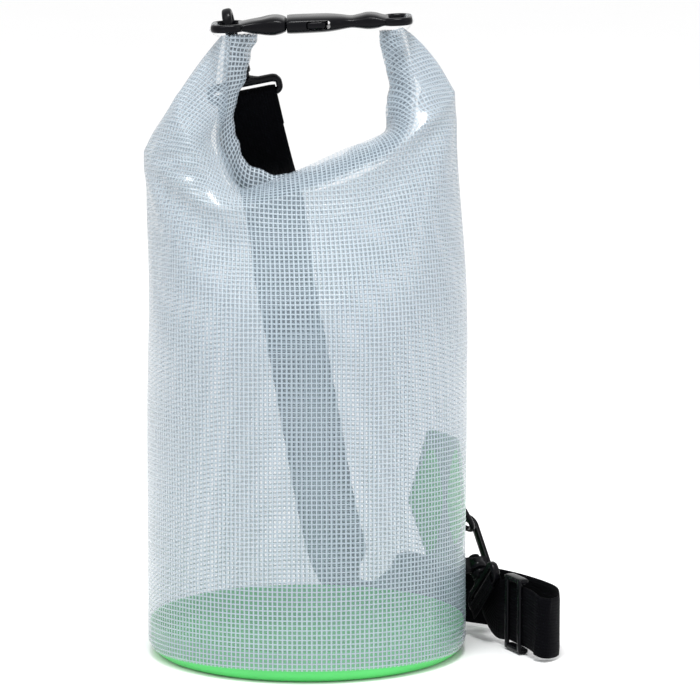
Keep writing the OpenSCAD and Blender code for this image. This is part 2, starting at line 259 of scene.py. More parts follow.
def uv_axes(tree):
    node = tree.nodes.new("ShaderNodeUVMap")
    node.uv_map = "UVMap"
    split = tree.nodes.new("ShaderNodeSeparateXYZ")
    tree.links.new(node.outputs["UV"], split.inputs[0])
    return split.outputs[0], split.outputs[1]


def object_place(tree):
    return tree.nodes.new("ShaderNodeTexCoord").outputs["Object"]


def line_mask(tree, value, pitch, width, soft=0.12):
    """1 on lines of that width and pitch along value, in metres."""
    cell = math_node(tree, "FRACT", math_node(tree, "MULTIPLY", value, 1 / pitch))
    away = math_node(tree, "ABSOLUTE", math_node(tree, "SUBTRACT", cell, 0.5))
    ramp = tree.nodes.new("ShaderNodeMapRange")
    ramp.interpolation_type = "SMOOTHSTEP"
    half = 0.5 * width / pitch
    ramp.inputs["From Min"].default_value = half + soft * 0.5
    ramp.inputs["From Max"].default_value = max(0.0, half - soft * 0.5)
    tree.links.new(away, ramp.inputs["Value"])
    return ramp.outputs["Result"]


# ---------------------------------------------------------------- materials
def scrim_material(name, film_alpha, thread_alpha, film, thread, width=0.0012):
    """Clear film laminated on a white open weave: threads every SCRIM_PITCH, glossy film over them."""
    mat, tree, shader = new_material(name)
    u, v = uv_axes(tree)
    across = line_mask(tree, u, SCRIM_PITCH * MM, width, 0.2)
    along = line_mask(tree, v, SCRIM_PITCH * MM, width * 0.85, 0.2)
    threads = math_node(tree, "MAXIMUM", across, along)
    cloud = noise(tree, object_place(tree), 22, 2)
    film_tone = mix_colour(tree, cloud, [c * 0.93 for c in film], [min(1, c * 1.06) for c in film])
    tree.links.new(mix_colour(tree, threads, film_tone, thread), shader.inputs["Base Color"])
    tree.links.new(math_node(tree, "MULTIPLY_ADD", threads, thread_alpha - film_alpha, film_alpha),
                   shader.inputs["Alpha"])
    tree.links.new(math_node(tree, "MULTIPLY_ADD", cloud, 0.12, 0.2), shader.inputs["Roughness"])
    shader.inputs["Specular IOR Level"].default_value = 0.5
    shader.inputs["Coat Weight"].default_value = 0.3
    shader.inputs["Coat Roughness"].default_value = 0.15
    height = math_node(tree, "MULTIPLY_ADD", across, 1.0, math_node(tree, "MULTIPLY", along, 0.6))
    tree.links.new(bump(tree, height, 0.55, 0.0005), shader.inputs["Normal"])
    return mat


def tarpaulin_material(name, colour):
    """Coated tarpaulin: a fine square weave just showing through a satin coat."""
    mat, tree, shader = new_material(name)
    place = object_place(tree)
    cloud = noise(tree, place, 30, 3)
    tree.links.new(mix_colour(tree, cloud, [c * 0.84 for c in colour], [min(1, c * 1.1) for c in colour]),
                   shader.inputs["Base Color"])
    fine = noise(tree, place, 900, 2)
    tree.links.new(math_node(tree, "MULTIPLY_ADD", fine, 0.2, 0.3), shader.inputs["Roughness"])
    u, v = uv_axes(tree)
    weave = math_node(tree, "ADD", line_mask(tree, u, 0.0009, 0.0004, 0.6), line_mask(tree, v, 0.0009, 0.0004, 0.6))
    height = math_node(tree, "MULTIPLY_ADD", fine, 0.5, weave)
    tree.links.new(bump(tree, height, 0.25, 0.0002), shader.inputs["Normal"])
    return mat


def plastic_material(name, rough=0.16):
    """Black moulded acetal: glossy, with a faint mould grain and tone."""
    mat, tree, shader = new_material(name)
    place = object_place(tree)
    tone = noise(tree, place, 70, 2)
    tree.links.new(mix_colour(tree, tone, (0.0018, 0.0018, 0.0025), (0.004, 0.004, 0.0055)),
                   shader.inputs["Base Color"])
    tree.links.new(math_node(tree, "MULTIPLY_ADD", tone, 0.14, rough), shader.inputs["Roughness"])
    shader.inputs["Specular IOR Level"].default_value = 0.1
    tree.links.new(bump(tree, noise(tree, place, 2400, 2), 0.05, 0.0002), shader.inputs["Normal"])
    return mat


def webbing_material(name, tones=((0.0004, 0.0004, 0.0009), (0.0022, 0.0022, 0.0036))):
    """Woven webbing: ribs along the band crossed by picks, from the band's own lengths."""
    mat, tree, shader = new_material(name)
    u, v = uv_axes(tree)
    ribs = line_mask(tree, v, 0.0019, 0.0012, 0.5)
    picks = line_mask(tree, u, 0.0012, 0.0007, 0.5)
    weave = math_node(tree, "MULTIPLY_ADD", picks, 0.5, math_node(tree, "MULTIPLY", ribs, 0.8))
    fuzz = noise(tree, object_place(tree), 700, 3)
    tree.links.new(mix_colour(tree, math_node(tree, "MULTIPLY", weave, fuzz), *tones), shader.inputs["Base Color"])
    tree.links.new(math_node(tree, "MULTIPLY_ADD", fuzz, 0.2, 0.62), shader.inputs["Roughness"])
    shader.inputs["Specular IOR Level"].default_value = 0.04
    shader.inputs["Sheen Weight"].default_value = 0.005
    tree.links.new(bump(tree, weave, 0.6, 0.0004), shader.inputs["Normal"])
    return mat


def strip_material(name):
    """Milky stiffening strip with a faint grain."""
    mat, tree, shader = new_material(name)
    tone = noise(tree, object_place(tree), 90, 3)
    tree.links.new(mix_colour(tree, tone, (0.60, 0.68, 0.74), (0.72, 0.78, 0.83)), shader.inputs["Base Color"])
    tree.links.new(math_node(tree, "MULTIPLY_ADD", tone, 0.2, 0.3), shader.inputs["Roughness"])
    shader.inputs["Alpha"].default_value = 0.55
    return mat


FILM, THREAD = (0.25, 0.312, 0.368), (0.375, 0.445, 0.505)
SCRIM = scrim_material("scrim_laminate", 0.38, 0.88, FILM, THREAD, 0.00105)
# The roll's copy of the body scrim: its darker film is painted shade, the darkness seen into the rolled layers, and its
# paler threads are painted highlight.
ROLL_SCRIM_PAINTED_LIGHT = scrim_material("rolled_scrim_painted_light", 0.40, 0.90, (0.17, 0.205, 0.24), (0.45, 0.52, 0.58), 0.0011)
LOOP_SCRIM = scrim_material("loop_scrim", 0.10, 0.30, (0.20, 0.235, 0.26), (0.5, 0.56, 0.6), 0.0009)
GREEN = tarpaulin_material("green_tarpaulin", (0.085, 0.60, 0.14))
PLASTIC = plastic_material("black_acetal")
WEBBING = webbing_material("black_webbing")
THREAD_BLACK = webbing_material("stitching_thread", ((0.006, 0.006, 0.008), (0.03, 0.03, 0.035)))
STRIP = strip_material("stiffener")

# ---------------------------------------------------------------- bag shell
COLUMNS = 320
WAIST_Z = 190.0
# The fold where the front panel turns back, from the left corner to the right one: (share, x, y, z)
RIDGE_FRONT = [(0, -100, 0, 316), (0.06, -96.5, -14, 313), (0.12, -90, -28, 307), (0.2, -77, -43, 297),
               (0.3, -58, -52, 288.5), (0.4, -33, -55, 289.5), (0.5, -4, -54, 298), (0.6, 24, -50.5, 307),
               (0.7, 48, -44, 318), (0.8, 69, -33, 334), (0.88, 83, -21, 344), (0.93, 88, -13, 347), (1, 92, 0, 353)]
# Where the front panel meets the roll
EDGE_FRONT = [(0, -52.5, 0, 388), (0.06, -47.5, -5, 387), (0.13, -48.5, -6.6, 362), (0.21, -50.6, -7.4, 341),
              (0.3, -50.5, -8.2, 316), (0.37, -41, -8.6, 294), (0.43, -25, -8, 298), (0.5, -7, -6.5, 304.5),
              (0.6, 22, -6.5, 317.5), (0.7, 41, -6.5, 325), (0.76, 49, -6.5, 330), (0.82, 50.5, -6.5, 348),
              (0.88, 49, -6.5, 374), (0.92, 45.5, -6, 390), (0.96, 52, -4, 391.5), (1, 58, 0, 393)]
RIDGE_BACK = [(0, -100, 0, 316), (0.1, -93, 26, 306), (0.2, -80, 50, 286), (0.3, -60, 68, 268), (0.4, -32, 74, 258),
              (0.5, -2, 75, 256), (0.6, 28, 73, 260), (0.7, 54, 64, 274), (0.8, 74, 46, 296), (0.9, 87, 24, 326),
              (1, 92, 0, 353)]
EDGE_BACK = [(0, -52.5, 0, 388), (0.07, -52, 5, 385), (0.16, -55, 6, 362), (0.25, -58, 8, 338), (0.32, -57, 9, 313),
             (0.4, -44, 9, 290), (0.5, -14, 9, 287), (0.6, 12, 9, 292), (0.7, 38, 9, 302), (0.77, 57, 9, 314),
             (0.85, 70, 8, 340), (0.92, 66, 7, 368), (0.96, 61, 5, 386), (1, 58, 0, 393)]
CREASE = 0.42


def soft_noise(s, z, waves, reach):
    """A sum of a few smooth waves over the cloth, the same each run."""
    total = np.zeros(np.broadcast(s, z).shape)
    for _ in range(waves):
        turns, rise = DRAWS.randint(1, 7), DRAWS.uniform(-1, 1) / reach
        total += DRAWS.uniform(0.3, 1) * np.sin(2 * np.pi * (turns * s + rise * z) + DRAWS.uniform(0, 6.3))
    return total / math.sqrt(waves)


def hem_height(s, side):
    """The weld to the base dips towards the sides, where the base's rounded edge tucks under."""
    return 2.0 + (6.5 if side < 0 else 5.5) * np.sin(np.pi * s) ** 0.8


def bag_side(ridge_keys, edge_keys, side, s):
    """Rows of one side of the tube at the columns s, from the weld up to the roll, in mm."""
    way = np.stack([-np.cos(np.pi * s), side * np.sin(np.pi * s), 0 * s], 1)
    ridge, edge = keyed(ridge_keys, s), keyed(edge_keys, s)
    hem = hem_height(s, side)
    rows = []
    for t in np.linspace(0, 1, 48) ** 1.15:
        z = hem + t * (WAIST_Z - hem)
        r = BAG_R - 3.2 * smoothstep(9, 1.5, z)
        rows.append(way * r[:, None] + np.stack([0 * s, 0 * s, z], 1))
    waist = way * BAG_R + (0, 0, WAIST_Z)
    lift = 0.5 * (ridge[:, 2:] - WAIST_Z)
    p1 = waist + lift * (0, 0, 1)
    p2 = ridge - np.concatenate([0.16 * (ridge - p1)[:, :2], 0.30 * (ridge[:, 2:] - WAIST_Z)], 1)
    for t in np.linspace(0, 1, 42)[1:]:
        rows.append((1 - t) ** 3 * waist + 3 * t * (1 - t) ** 2 * p1 + 3 * t * t * (1 - t) * p2 + t**3 * ridge)
    left = smoothstep(0.34, 0.1, s)
    middle = np.sin(np.pi * s)
    puff = np.stack([-3 * left, side * (2.5 + 2 * left) * middle, 4.5 * (1 - left) + 2.0 * left], 1)
    gusset = smoothstep(0.30, 0.16, s) * smoothstep(0, 0.05, s) * (side < 0)
    for t in np.linspace(0, 1, 32)[1:]:
        tent = np.clip(1 - abs(t - CREASE) / 0.42, 0, 1) * gusset
        fan = np.sin(34 * s / (0.25 + t)) * smoothstep(CREASE, CREASE - 0.1, t) * smoothstep(0, 0.1, t) * gusset
        out = tent[:, None] * (-2, -7.5, 5) + fan[:, None] * (0, -1.3, 0.7)
        rows.append(ridge + t * (edge - ridge) + 4 * t * (1 - t) * puff + out)
    return np.array(rows)


def creased(points, s):
    """Slack in the cloth: broad undulations on the tube and pulled folds that run into the two corners."""
    z = points[:, :, 2]
    out = points[:, :, :2] / np.maximum(np.linalg.norm(points[:, :, :2], axis=2, keepdims=True), 20)
    free = smoothstep(14, 60, z) * (0.45 + 0.9 * smoothstep(140, 270, z)) * smoothstep(400, 330, z)
    push = 1.0 * soft_noise(s, z, 9, 130.0) * free
    for x, height, spread in ((-100, 316, 10), (92, 350, 9)):
        dx, dz = points[:, :, 0] - x, z - height
        far = np.hypot(dx, dz)
        angle = np.arctan2(dz, abs(dx) + 3)
        push += 1.6 * np.sin(spread * angle) * smoothstep(6, 26, far) * smoothstep(130, 40, far)
    points[:, :, :2] += out * push[:, :, None]
    return points


def bag_points():
    half = COLUMNS // 2
    s = np.linspace(0, 1, half + 1)
    front = bag_side(RIDGE_FRONT, EDGE_FRONT, -1, s)
    back = bag_side(RIDGE_BACK, EDGE_BACK, 1, s)
    points = np.concatenate([front, back[:, -2:0:-1]], 1)
    around = np.concatenate([0.5 * s, 1 - 0.5 * s[-2:0:-1]])
    return creased(points, around[None, :])


def fabric_uv(points):
    """Lengths in the cloth: u round the tube at its full size, v up each column."""
    cols = points.shape[1]
    turns = round(2 * math.pi * BAG_R / SCRIM_PITCH)
    u = np.linspace(0, turns * SCRIM_PITCH, cols + 1)
    steps = np.linalg.norm(np.diff(points, axis=0), axis=2)
    v = np.concatenate([np.zeros((1, cols)), np.cumsum(steps, 0)])
    v = np.concatenate([v, v[:, :1]], 1)
    return np.stack([np.broadcast_to(u, v.shape), v], 2)


def with_right_arm(obj):
    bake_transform(obj)
    return obj


shell_points = bag_points()
bag = sheet_object("bag_body", shell_points, fabric_uv(shell_points), SCRIM, wrap=True)
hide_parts("tube_body")
with_right_arm(bag)

# ---------------------------------------------------------------- rolled mouth
# The roll's outer and inner edge seen from the front, (x, z), down the left arm and up the right one
ROLL_LOW = [(-50.6, 388), (-51, 380), (-52.5, 361), (-55.4, 342), (-56, 318), (-51, 300), (-40, 288), (-22, 286.5),
            (-4, 289), (14, 295), (34, 304), (54, 313), (66, 330), (68.5, 352), (65, 371), (58.5, 391)]
ROLL_HIGH = [(-30, 389), (-33, 378), (-37.6, 363), (-42.4, 348), (-45, 331), (-41, 320), (-36.5, 308), (-22, 302.5),
             (-6, 303), (9, 309), (28, 317.5), (44, 325), (50.2, 337), (50.5, 353), (48.5, 372), (45, 391)]
# Flat spiral as (share of the roll's height, depth in mm)
ROLL_TURNS = [(0.02, 0), (0.06, -3.6), (0.26, -5.6), (0.74, -5.6), (0.94, -3.6), (1.0, 0), (0.93, 4), (0.7, 5.8),
              (0.32, 5.6), (0.18, 3), (0.2, -0.6), (0.34, -3), (0.66, -3), (0.8, 0), (0.66, 2.8), (0.4, 2.8)]


def rolled_mouth():
    turns, count = spline(ROLL_TURNS, 76), 220
    low, high = spline(ROLL_LOW, count), spline(ROLL_HIGH, count)
    along = np.linspace(0, 1, count)
    ripple = 0.8 * np.sin(2 * np.pi * (7.3 * along + 0.2)) + 0.5 * np.sin(2 * np.pi * (17.1 * along + 0.7))
    across = unit(high - low)
    high = high + across * (ripple * smoothstep(0, 0.04, along) * smoothstep(1, 0.96, along))[:, None]
    rows = []
    for k, (share, depth) in enumerate(turns):
        xz = low + share * (high - low)
        dent = 0.5 * np.sin(2 * np.pi * (9 * along + 0.13 * k)) * smoothstep(0, 0.05, along)
        rows.append(np.stack([xz[:, 0], depth + dent * np.sign(depth) * 0.6, xz[:, 1]], 1))
    pts = np.array(rows)
    mid = 0.5 * (low + high)
    u = np.concatenate([[0], np.cumsum(np.linalg.norm(np.diff(mid, axis=0), axis=1))])
    v = np.concatenate([[0], np.cumsum(np.linalg.norm(np.diff(pts[:, 70], axis=0), axis=1))])
    uv = np.stack(np.broadcast_arrays(u[None], v[:, None]), 2)
    # The roll wears the scrim copy with painted shade in its darker film and painted highlight in its paler threads.
    roll = sheet_object("roll", pts, uv, ROLL_SCRIM_PAINTED_LIGHT)
    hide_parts("rolled_mouth")
    with_right_arm(roll)
    strip = []
    for xz_low, xz_high in zip(low[6:-6:3], high[6:-6:3]):
        a, b = xz_low + 0.36 * (xz_high - xz_low), xz_low + 0.68 * (xz_high - xz_low)
        edge = [(a[0], -0.5, a[1]), (a[0], 0.3, a[1]), (b[0], 0.3, b[1]), (b[0], -0.5, b[1])]
        strip.append(edge)
    core = build("mouth_strip", [np.array(strip)], STRIP, replaces=("mouth_stiffener",), smooth=False)
    with_right_arm(core)
    return roll


roll = rolled_mouth()

# ---------------------------------------------------------------- buckle
BUCKLE_Z, BUCKLE_TILT = 395.5, math.radians(2.4)
BUCKLE_TURN = np.array([[math.cos(BUCKLE_TILT), 0, -math.sin(BUCKLE_TILT)], [0, 1, 0],
                        [math.sin(BUCKLE_TILT), 0, math.cos(BUCKLE_TILT)]])


def in_buckle(rings):
    return placed(rings, BUCKLE_TURN, (0, 0, BUCKLE_Z))


def rounded_path(x0, x1, half, radius, corner=8):
    """A rounded rectangle's centre line in the XY plane, from x0 to x1."""
    points = []
    for cx, cy, start in ((x1 - radius, half - radius, 0), (x0 + radius, half - radius, 90),
                          (x0 + radius, radius - half, 180), (x1 - radius, radius - half, 270)):
        for a in np.radians(np.linspace(start, start + 90, corner)):
            points.append((cx + radius * math.cos(a), cy + radius * math.sin(a), 0))
    out = []
    for k, p in enumerate(points):
        q = points[(k + 1) % len(points)]
        out.append(p)
        gap = math.dist(p, q)
        for i in range(1, int(gap // 3) + 1):
            f = i / (int(gap // 3) + 1)
            out.append(tuple(np.add(np.multiply(p, 1 - f), np.multiply(q, f))))
    return np.array(out, float)


def ring_shell(x0, x1, radius=6.2):
    path = rounded_path(x0 + 2.25, x1 - 2.25, 15.75, radius)
    return {"rings": in_buckle(swept(path, (0, 0, 1), superellipse(2.5, 2.25, 2.7, 16), closed=True)), "closed": True}


def thumb_scoop(rings, x, reach, depth):
    """Presses a shallow lens into the top of a body."""
    from_x, y, top = (rings[:, :, 0] - x) / reach, rings[:, :, 1] / 9.0, rings[:, :, 2] > 0
    rings[:, :, 2] -= depth * np.exp(-(from_x**2) - y**2) * top
    return rings


def cut(obj, tool):
    """Takes the tool's shape out of obj and removes the tool."""
    mod = obj.modifiers.new("cut", "BOOLEAN")
    mod.operation, mod.solver, mod.object = "DIFFERENCE", "EXACT", tool
    bpy.context.view_layer.update()
    done = bpy.data.meshes.new_from_object(obj.evaluated_get(bpy.context.evaluated_depsgraph_get()))
    obj.modifiers.clear()
    obj.data = done
    bpy.data.objects.remove(tool)


def auto_smooth(obj, degrees=38):
    obj.data.shade_smooth()
    obj.data.set_sharp_from_angle(angle=math.radians(degrees))


MALE_BODY = [(-42.5, 14.6, -2.4, 2.4), (-39, 14.2, -2.9, 2.9), (-34, 13.6, -4.2, 3.9), (-29, 13.7, -5.2, 5.0),
             (-24, 15.4, -5.9, 5.9), (-19.5, 16.5, -6, 6), (-15.5, 16.5, -5.2, 5.3), (-12.3, 15.9, -3.8, 3.9)]
FEMALE_BODY = [(-12, 17.2, -5.0, 5.0), (-9, 17.5, -5.4, 5.4), (2, 17.5, -5.4, 5.4), (12, 17.3, -5.2, 5.2),
               (18, 15.4, -4.7, 4.8), (23, 13.3, -4.0, 4.2), (28, 12.5, -3.4, 3.5), (33, 12.6, -4.0, 4.3),
               (38, 13.4, -4.7, 5.2), (43, 14.2, -4.4, 4.7), (47, 14.8, -3.2, 3.4), (51, 15, -2.4, 2.4)]


def dense(stations, count):
    return [tuple(r) for r in spline(stations, count)]


def male_half():
    body = thumb_scoop(lofted(dense(MALE_BODY, 34), 3.4, 48, 0.9), -26.5, 5.5, 1.3)
    tongue = lofted([(-13.5, 2.8, -2.4, 2.4), (-5, 2.8, -2.4, 2.4), (6, 2.7, -2.3, 2.3),
                     (13.4, 2.2, -2, 2)], 4, 20, 0.8)
    return build("male_half", [in_buckle(body), in_buckle(tongue), ring_shell(-59, -38)], PLASTIC,
                 "bag", ("buckle_male",))


def female_half():
    obj = build("female_shell", [in_buckle(lofted(dense(FEMALE_BODY, 60), 3.2, 56, 0.9))], PLASTIC)
    hollow = [in_buckle(lofted([(-14, 14.4, -3, 3), (0, 14.4, -3, 3), (15.6, 14, -2.9, 2.9)], 6, 40, 0.6)),
              in_buckle(lofted([(0.1, 19, -2.95, 2.95), (7, 19, -2.95, 2.95), (14.9, 19, -2.8, 2.8)], 6, 40, 1.6))]
    for k, shell in enumerate(hollow):
        cut(obj, build("hollow%d" % k, [shell], PLASTIC))
    auto_smooth(obj)
    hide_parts("buckle_female")
    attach(obj, "female_half")
    ring = build("female_ring", [ring_shell(46.7, 65.7)], PLASTIC, "female_half")
    return obj, ring


def prong(name, side, body, node):
    """A springy arm from its round root to the wing that snaps into the side window."""
    arm = [(-10.7, 8.6), (-4, 8.7), (3, 8.9), (9, 9.2), (12, 9.6)]
    path = np.array([(x, side * y, 0) for x, y in spline(arm, 16)])
    arm_rings = swept(path, (0, 0, 1), superellipse(2.45, 1.4, 4, 16))
    wing = [(0.6, 9.6, 16.6), (1.6, 9.2, 17.15), (5, 9.0, 17.45), (9, 9.2, 17.4), (11.6, 9.6, 16.4), (12.5, 10.4, 14.6)]
    rings = []
    for x, low, high in spline(wing, 14):
        flat = superellipse(2.45, 0.5 * (high - low), 3.4, 24)
        rings.append(np.stack([np.full(24, x), side * (0.5 * (low + high) + flat[:, 1]), flat[:, 0]], 1))
    root = lathed([(0.4, -2.5), (1.1, -2.45), (1.4, -2.1), (1.4, 2.1), (1.1, 2.45), (0.4, 2.5)], 16)
    root = placed(root, None, (-10.7, side * 8.6, 0))
    return build(name, [in_buckle(arm_rings), in_buckle(np.array(rings)), in_buckle(root)], PLASTIC,
                 body, (node,))


male_half()
female_half()
prong("prong_front_arm", -1, "front_prong", "prong_front")
prong("prong_rear_arm", 1, "rear_prong", "prong_rear")


# ---------------------------------------------------------------- fabric loops that hold the rings
def fabric_loop(name, bar_x, arm_end, low_y, width, node):
    """The end of an arm, folded round its ring's outer bar and sewn back on itself."""
    bar = np.array([bar_x * math.cos(BUCKLE_TILT), BUCKLE_Z + bar_x * math.sin(BUCKLE_TILT)])
    down = unit(np.array(arm_end) - bar)
    side = np.array([-down[1], down[0]])
    reach = np.linalg.norm(np.array(arm_end) - bar)
    line = [bar + down * reach + side * 1.4, bar + down * reach * 0.6 + side * 2.0, bar + down * 2.4 + side * 2.8]
    for a in np.radians(np.linspace(20, 160, 9)):
        line.append(bar + 3.0 * (side * math.cos(a) - down * math.sin(a)))
    line += [bar + down * 2.4 - side * 2.8, bar + down * reach * 0.6 - side * 2.0, bar + down * reach - side * 1.4]
    line = spline(line, 44)
    length = np.concatenate([[0], np.cumsum(np.linalg.norm(np.diff(line, axis=0), axis=1))])
    across = np.linspace(0, width, 12)
    pts = np.stack([np.broadcast_to(line[:, None, 0], (44, 12)), np.broadcast_to(low_y + across, (44, 12)),
                    np.broadcast_to(line[:, None, 1], (44, 12))], 2)
    uv = np.stack(np.broadcast_arrays(across[None], length[:, None]), 2)
    obj = sheet_object(name, pts, uv, LOOP_SCRIM)
    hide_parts(node)
    return obj


loop_left = fabric_loop("arm_loop_left", -56.75, (-46, 384), -11.5, 14.5, "end_loop_left")
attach(loop_left, "bag")
loop_right = fabric_loop("arm_loop_right", 63.5, (55.5, 386), -10, 20, "end_loop_right")
with_right_arm(loop_right)

# ---------------------------------------------------------------- snap hooks
# Inner radius of the eye and its height over the swivel collar, and the strap bar below it
EYE_R, EYE_W = 6.0, 32.8
BASE_BAR_Z = -16.2
PATCH_TURN = math.radians(29)
RING_LEAN = math.radians(30)
RING_PIVOT_R, RING_PIVOT_Z, RING_REACH = 105.4, 82.0, 17.5
bow_r = RING_PIVOT_R + RING_REACH * math.sin(RING_LEAN)
RING_BOW = np.array([bow_r * math.cos(PATCH_TURN), bow_r * math.sin(PATCH_TURN),
                     RING_PIVOT_Z - RING_REACH * math.cos(RING_LEAN)])


class HookFrame:
    """Where a hook hangs: its eye on a bar, the swivel axis, and the way its strap bar runs."""

    def __init__(self, eye, axis, wanted):
        self.eye, self.axis = np.array(eye, float), unit(axis)
        self.q = unit(np.array(wanted) - (np.array(wanted) @ self.axis) * self.axis)
        self.p = np.cross(self.axis, self.q)
        self.turn = np.stack([self.q, self.p, self.axis], 1)
        self.origin = self.eye - EYE_W * self.axis
        self.bar = self.eye + (BASE_BAR_Z - EYE_W) * self.axis

    def put(self, rings):
        return placed(rings, self.turn, self.origin)


TOP = HookFrame((-48, 15.75, 393.5), (-0.207, -0.2515, 0.9454), (1, 0, 0))
BOTTOM = HookFrame(RING_BOW, (-0.27, 0.62, 0.74), (0, 0, 1))


def hook_body(frame_, name, body, node):
    """A J-shaped hook on a stepped swivel barrel."""
    spine = [(0, EYE_R + 2, z) for z in (4, 8, 14, 20, 26, 31)]
    arc = [(0, 8 * math.cos(a), EYE_W + 8 * math.sin(a)) for a in np.radians(np.linspace(0, 180, 15))]
    nose = [(0, -8, z) for z in (31, 29.4, 28.2, 27.9)]
    path = np.array(spine + arc + nose)
    section = np.array([superellipse(3 * w, 2 * w, 2.8, 20) for w in [1.0] * (len(path) - 3) + [0.95, 0.8, 0.45]])
    barrel = lathed([(2.6, 0), (5.9, 0.05), (6.4, 0.6), (6.4, 3.6), (5.9, 4.2), (5.9, 6.4), (5.3, 7.4), (2.6, 7.5)])
    plate = []
    for z, half in ((0, 9.2), (0.5, 9.7), (4, 10), (7, 9.9), (8.5, 9.7), (9, 9.2)):
        flat = superellipse(2.95, half, 4, 28)
        plate.append(np.stack([flat[:, 0], flat[:, 1], np.full(28, z)], 1))
    axle = swept([(x, -8, 7.8) for x in (-3.4, -3.2, 0, 3.2, 3.4)], (0, 0, 1),
                 np.array([superellipse(r, r, 2, 14) for r in (0.4, 0.9, 0.9, 0.9, 0.4)]))
    shells = [frame_.put(x) for x in (swept(path, (1, 0, 0), section), barrel, np.array(plate), axle)]
    return build(name, shells, PLASTIC, body, (node,))


def hook_gate(frame_, name, body, node):
    """The sprung gate, with a small thumb ridge, closing the hook's mouth."""
    path = [(0, -8, z) for z in (6.6, 7.6, 10, 14, 17, 20, 24, 26.6, 27.4)]
    widths = [(1.2, 1.2), (1.75, 1.85), (1.75, 1.7), (1.75, 1.6), (1.8, 2.0), (1.75, 1.6), (1.7, 1.6),
              (1.6, 1.45), (0.9, 0.8)]
    rings = swept(path, (1, 0, 0), np.array([superellipse(a, b, 3, 18) for a, b in widths]))
    return build(name, [frame_.put(rings)], PLASTIC, body, (node,))


def swivel_pin(frame_, name, node):
    profile = [(0.5, -9), (2.1, -8.9), (2.35, -8.5), (2.35, 9.2), (3.5, 9.3), (3.8, 9.7), (3.7, 10.5),
               (2.8, 11.1), (0.5, 11.3)]
    return build(name, [frame_.put(lathed(profile))], PLASTIC, "bag", (node,))


def strap_base(frame_, name, node):
    """The rectangular loop that the webbing passes through, under its swivel collar."""
    path = rounded_path(-11.4, 0, 22, 4.2)
    path = np.stack([path[:, 1], 0 * path[:, 0], path[:, 0] * 0.82 - 7.3], 1)
    height = [2.35 if abs(z + 7.3) < 1 else 2.0 for _, _, z in path]
    section = np.array([superellipse(2.65 if abs(x) > 19 or z > -9 else 2.35, h, 2.7, 18)
                        for (x, y, z), h in zip(path, height)])
    loop = {"rings": frame_.put(swept(path, (0, 1, 0), section, closed=True)), "closed": True}
    collar = lathed([(1, -0.45), (4.6, -0.5), (5, -0.9), (5, -2.6), (4.6, -3.4), (4.6, -5.2), (1, -5.4)])
    shoulder = []
    for z, half in ((-3.2, 4.6), (-4.6, 8.5), (-5.8, 13), (-7.2, 16)):
        flat = superellipse(half, 2.6, 3.4, 26)
        shoulder.append(np.stack([flat[:, 0], flat[:, 1], np.full(26, z)], 1))
    return build(name, [loop, frame_.put(collar), frame_.put(np.array(shoulder))], PLASTIC, "bag",
                 (node,))


for frame_, word, node in ((TOP, "upper", "top"), (BOTTOM, "lower", "bottom")):
    hook_body(frame_, word + "_hook_body", word + "_hook", node + "_hook")
    hook_gate(frame_, word + "_hook_gate", word + "_gate", node + "_gate")
    swivel_pin(frame_, word + "_pin", node + "_swivel_pin")
    strap_base(frame_, word + "_strap_base", node + "_strap_base")

# ---------------------------------------------------------------- shoulder strap
STRAP_W, STRAP_T = 38.0, 1.4
BAR_GAP = 2.4 + STRAP_T / 2 + 0.6
SLIDER_PLACE = np.array([131.7, -8.6, 24.6])
SLIDER_TURN = math.radians(113.5)
SLIDER_ALONG = np.array([math.cos(SLIDER_TURN), math.sin(SLIDER_TURN), 0])
STAND_Z = STRAP_W / 2 + 1.6
UPRIGHT = np.array([0, 0, 1.0])


def bar_turn(hook):
    return [(hook.bar + BAR_GAP * (math.cos(a) * hook.p + math.sin(a) * hook.axis), hook.q)
            for a in np.radians((0, 45, 90, 135, 180))]


def turn_up():
    """Past the slider the band turns in its own plane, up to the lower base's bar."""
    a = SLIDER_PLACE + 13 * SLIDER_ALONG
    d = BOTTOM.bar + BAR_GAP * BOTTOM.p - 6 * BOTTOM.axis
    b, c = a + 9 * SLIDER_ALONG - (0, 0, 1.5), d - 9 * BOTTOM.axis

    def place(t):
        return (1 - t) ** 3 * a + 3 * t * (1 - t) ** 2 * b + 3 * t * t * (1 - t) * c + t**3 * d

    return [(place(t), np.cross(BOTTOM.p, unit(place(min(1, t + 0.02)) - place(max(0, t - 0.02)))))
            for t in (0, 1 / 3, 2 / 3, 1)]


BACK_RUN = [((-32.5, 33.5, 322), (0.98, 0, 0.2)), ((-27.3, 47, 299), (0.98, 0.05, 0.18)),
            ((-23.2, 70, 281), (0.98, 0.1, 0.15)), ((-19, 91, 257), (0.98, 0.1, 0.15)),
            ((-16.5, 102.6, 228), (0.98, 0.05, 0.17)), ((-9.6, 103, 190), (0.98, 0.05, 0.17)),
            ((-2.4, 103, 150), (0.985, 0, 0.17)), ((4.6, 103, 110), (0.985, -0.03, 0.17)),
            ((11.5, 103.5, 72), (0.985, -0.05, 0.17)), ((18, 106, 44), (0.97, 0.1, 0.15)),
            ((25, 113, 25), (0.75, 0.65, 0.05)), ((36, 123, 11), (0.25, 0.96, 0.05)),
            ((50, 120, 13.5), (0.15, 0.85, 0.5)), ((63, 111, 20), (0.05, 0.25, 0.97))]
STANDING = [(77, 95, 0), (91, 80, 0), (104, 69.5, 0), (119, 59, 0), (134, 43, 0), (148, 22, 0), (156.5, 3, 0),
            (158, -14, 0), (156.5, -29, 0.3), (150.5, -38.5, 1), (144.5, -37, 2.2), (141.5, -31, 3.4)]


